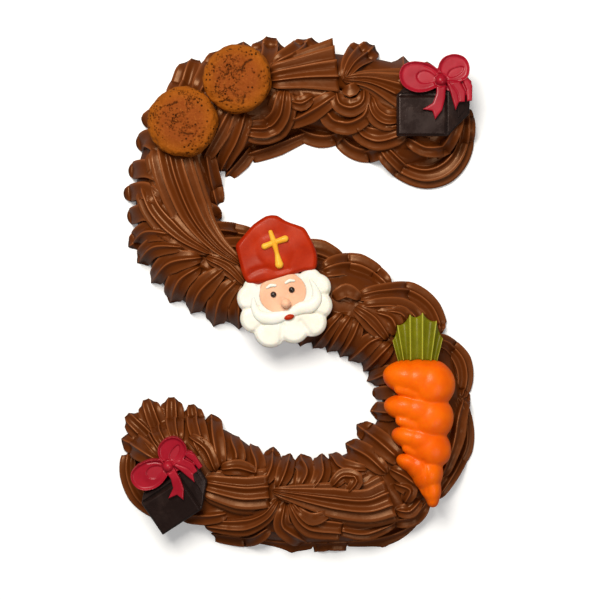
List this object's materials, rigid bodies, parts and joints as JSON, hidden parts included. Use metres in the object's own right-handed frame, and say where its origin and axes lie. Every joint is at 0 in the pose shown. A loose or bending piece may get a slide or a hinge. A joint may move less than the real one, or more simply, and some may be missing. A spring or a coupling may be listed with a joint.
{
  "type": "chocolate letter",
  "caption": "Milk chocolate letter S piped in ribbed strands, dressed with spiced biscuits, moulded gift boxes with red bows, an icing carrot and an icing bishop's head",
  "frame": {"origin": "middle of the letter's length and width, on the flat face that it lies on", "axes": "+X across the letter to its right, +Y up the letter, +Z from the table to the viewer"},
  "size_m": [0.1261, 0.183, 0.0234],
  "materials": {
    "milk chocolate": "satin, faint bloom",
    "baked biscuit": "matte, cracked and pitted",
    "dark chocolate": "semi-gloss, scuffed edges",
    "red sweet": "satin",
    "orange icing": "glossy",
    "green icing": "satin",
    "red icing": "glossy",
    "yellow icing": "glossy",
    "peach icing": "satin",
    "white icing": "satin",
    "dark icing": "glossy"
  },
  "bodies": {
    "root": {"beard": "white icing", "brow_left": "white icing", "brow_right": "white icing", "carrot_leaves": "green icing", "carrot_root": "orange icing", "cookie_left": "baked biscuit", "cookie_right": "baked biscuit", "eye_left": "dark icing", "eye_right": "dark icing", "face": "peach icing", "gift_bow_lower": "red sweet", "gift_bow_upper": "red sweet", "gift_box_lower": "dark chocolate", "gift_box_upper": "dark chocolate", "letter": "milk chocolate", "mitre": "red icing", "mitre_cross": "yellow icing", "moustache": "white icing", "mouth": "red icing", "nose": "peach icing"}
  },
  "joints": []
}
